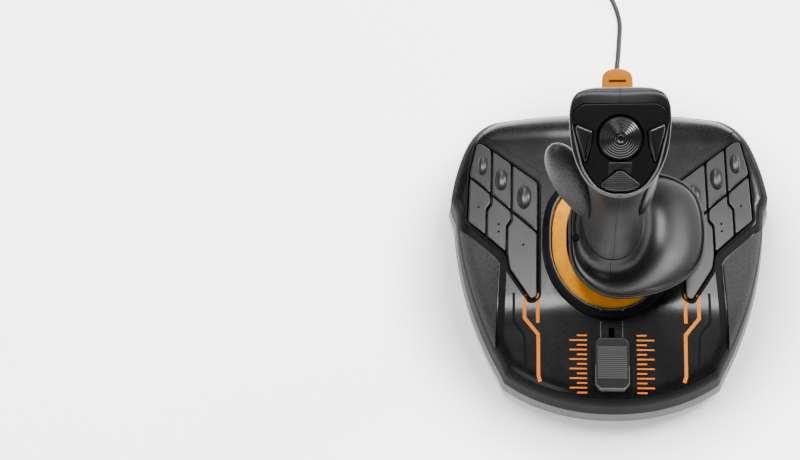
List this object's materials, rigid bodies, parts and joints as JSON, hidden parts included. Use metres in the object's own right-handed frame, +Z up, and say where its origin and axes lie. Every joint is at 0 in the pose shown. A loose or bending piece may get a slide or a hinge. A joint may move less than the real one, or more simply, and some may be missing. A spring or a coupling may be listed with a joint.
{
  "type": "flight joystick",
  "caption": "Desk flight joystick: twist grip with hat switch, thumb buttons and trigger on a wide base with push keys, an amber ring and a throttle slider",
  "frame": {"origin": "on the table, under the middle of the base", "axes": "X to the user's right, Y away from the user, Z up"},
  "size_m": [0.208, 0.4233, 0.195],
  "materials": {
    "satin_grey_plastic": "satin moulded plastic",
    "gloss_black_plastic": "glossy black moulded plastic",
    "grained_grey_plastic": "fine leather-like grain",
    "matte_black_plastic": "fine matte black plastic",
    "key_grey_plastic": "satin dark grey plastic",
    "amber_plastic": "see-through amber plastic",
    "steel": "plain steel",
    "circuit_board": "green circuit board",
    "black_rubber": "soft black rubber"
  },
  "bodies": {
    "base": {"base_pan": "satin_grey_plastic", "top_cover": "gloss_black_plastic", "wing_plate_left": "grained_grey_plastic", "wing_plate_right": "grained_grey_plastic", "key_tray_left": "matte_black_plastic", "key_tray_right": "matte_black_plastic", "key_board_left": "circuit_board", "key_board_right": "circuit_board", "ring_bezel": "gloss_black_plastic", "light_ring": "amber_plastic", "gimbal_frame": "steel", "main_board": "circuit_board", "sensor_board": "circuit_board", "ballast_plate": "steel", "throttle_pot": "steel", "foot_1": "black_rubber", "foot_2": "black_rubber", "foot_3": "black_rubber", "foot_4": "black_rubber", "cable_gland": "black_rubber", "usb_cable": "black_rubber", "cable_coil": "black_rubber", "cable_tie": "black_rubber", "usb_plug_body": "black_rubber", "usb_plug_shell": "steel"},
    "gimbal": {"gimbal_ring": "steel"},
    "shaft": {"stick_shaft": "steel", "centring_spring": "steel", "dust_dome": "matte_black_plastic"},
    "grip": {"grip_shell_left": "matte_black_plastic", "grip_shell_right": "matte_black_plastic", "head_face": "matte_black_plastic", "palm_rest": "matte_black_plastic", "palm_screw": "steel", "side_cover": "matte_black_plastic", "thumb_rest": "grained_grey_plastic", "grip_board": "circuit_board", "trigger_switch": "circuit_board", "trigger_pin": "steel"},
    "trigger": {"trigger": "amber_plastic"},
    "hat_rocker": {"hat_rocker": "steel"},
    "hat": {"hat_cap": "matte_black_plastic"},
    "button_left": {"button_left": "gloss_black_plastic"},
    "button_right": {"button_right": "gloss_black_plastic"},
    "button_fan": {"button_fan": "gloss_black_plastic"},
    "slider": {"throttle_slider": "matte_black_plastic"},
    "key_left_1": {"key_left_1": "key_grey_plastic"},
    "key_left_2": {"key_left_2": "key_grey_plastic"},
    "key_left_3": {"key_left_3": "key_grey_plastic"},
    "key_left_4": {"key_left_4": "key_grey_plastic"},
    "key_left_5": {"key_left_5": "key_grey_plastic"},
    "key_left_6": {"key_left_6": "key_grey_plastic"},
    "key_right_1": {"key_right_1": "key_grey_plastic"},
    "key_right_2": {"key_right_2": "key_grey_plastic"},
    "key_right_3": {"key_right_3": "key_grey_plastic"},
    "key_right_4": {"key_right_4": "key_grey_plastic"},
    "key_right_5": {"key_right_5": "key_grey_plastic"},
    "key_right_6": {"key_right_6": "key_grey_plastic"}
  },
  "joints": [
    {"name": "stick_pitch", "type": "hinge", "parent": "base", "child": "gimbal", "pos_m": [0, -0.004, 0.026], "axis": [1, 0, 0], "range_deg": [-12, 12], "stiffness_Nm_per_rad": 2.5},
    {"name": "stick_roll", "type": "hinge", "parent": "gimbal", "child": "shaft", "pos_m": [0, -0.004, 0.026], "axis": [0, 1, 0], "range_deg": [-12, 12], "stiffness_Nm_per_rad": 2.5},
    {"name": "stick_twist", "type": "hinge", "parent": "shaft", "child": "grip", "pos_m": [0, -0.004, 0.085], "axis": [0, 0, 1], "range_deg": [-15, 15], "stiffness_Nm_per_rad": 0.8},
    {"name": "trigger_pull", "type": "hinge", "parent": "grip", "child": "trigger", "pos_m": [0, 0.02, 0.166], "axis": [-1, 0, 0], "range_deg": [0, 8], "stiffness_Nm_per_rad": 0.4},
    {"name": "hat_tilt", "type": "hinge", "parent": "grip", "child": "hat_rocker", "pos_m": [0, -0.00247, 0.17942], "axis": [1, 0, 0], "range_deg": [-8, 8], "stiffness_Nm_per_rad": 0.05},
    {"name": "hat_sway", "type": "hinge", "parent": "hat_rocker", "child": "hat", "pos_m": [0, -0.00247, 0.17942], "axis": [0, 0.8608, 0.509], "range_deg": [-8, 8], "stiffness_Nm_per_rad": 0.05},
    {"name": "button_left_press", "type": "slide", "parent": "grip", "child": "button_left", "axis": [0, 0.509, -0.8608], "range_m": [0, 0.0012], "stiffness_N_per_m": 400},
    {"name": "button_right_press", "type": "slide", "parent": "grip", "child": "button_right", "axis": [0, 0.509, -0.8608], "range_m": [0, 0.0012], "stiffness_N_per_m": 400},
    {"name": "button_fan_press", "type": "slide", "parent": "grip", "child": "button_fan", "axis": [0, 0.509, -0.8608], "range_m": [0, 0.0012], "stiffness_N_per_m": 400},
    {"name": "key_left_1_press", "type": "slide", "parent": "base", "child": "key_left_1", "axis": [0, 0, -1], "range_m": [0, 0.0015], "stiffness_N_per_m": 400},
    {"name": "key_left_2_press", "type": "slide", "parent": "base", "child": "key_left_2", "axis": [0, 0, -1], "range_m": [0, 0.0015], "stiffness_N_per_m": 400},
    {"name": "key_left_3_press", "type": "slide", "parent": "base", "child": "key_left_3", "axis": [0, 0, -1], "range_m": [0, 0.0015], "stiffness_N_per_m": 400},
    {"name": "key_left_4_press", "type": "slide", "parent": "base", "child": "key_left_4", "axis": [0, 0, -1], "range_m": [0, 0.0015], "stiffness_N_per_m": 400},
    {"name": "key_left_5_press", "type": "slide", "parent": "base", "child": "key_left_5", "axis": [0, 0, -1], "range_m": [0, 0.0015], "stiffness_N_per_m": 400},
    {"name": "key_left_6_press", "type": "slide", "parent": "base", "child": "key_left_6", "axis": [0, 0, -1], "range_m": [0, 0.0015], "stiffness_N_per_m": 400},
    {"name": "key_right_1_press", "type": "slide", "parent": "base", "child": "key_right_1", "axis": [0, 0, -1], "range_m": [0, 0.0015], "stiffness_N_per_m": 400},
    {"name": "key_right_2_press", "type": "slide", "parent": "base", "child": "key_right_2", "axis": [0, 0, -1], "range_m": [0, 0.0015], "stiffness_N_per_m": 400},
    {"name": "key_right_3_press", "type": "slide", "parent": "base", "child": "key_right_3", "axis": [0, 0, -1], "range_m": [0, 0.0015], "stiffness_N_per_m": 400},
    {"name": "key_right_4_press", "type": "slide", "parent": "base", "child": "key_right_4", "axis": [0, 0, -1], "range_m": [0, 0.0015], "stiffness_N_per_m": 400},
    {"name": "key_right_5_press", "type": "slide", "parent": "base", "child": "key_right_5", "axis": [0, 0, -1], "range_m": [0, 0.0015], "stiffness_N_per_m": 400},
    {"name": "key_right_6_press", "type": "slide", "parent": "base", "child": "key_right_6", "axis": [0, 0, -1], "range_m": [0, 0.0015], "stiffness_N_per_m": 400},
    {"name": "throttle_slide", "type": "slide", "parent": "base", "child": "slider", "axis": [0, 0.9724, 0.2334], "range_m": [0, 0.011]}
  ]
}
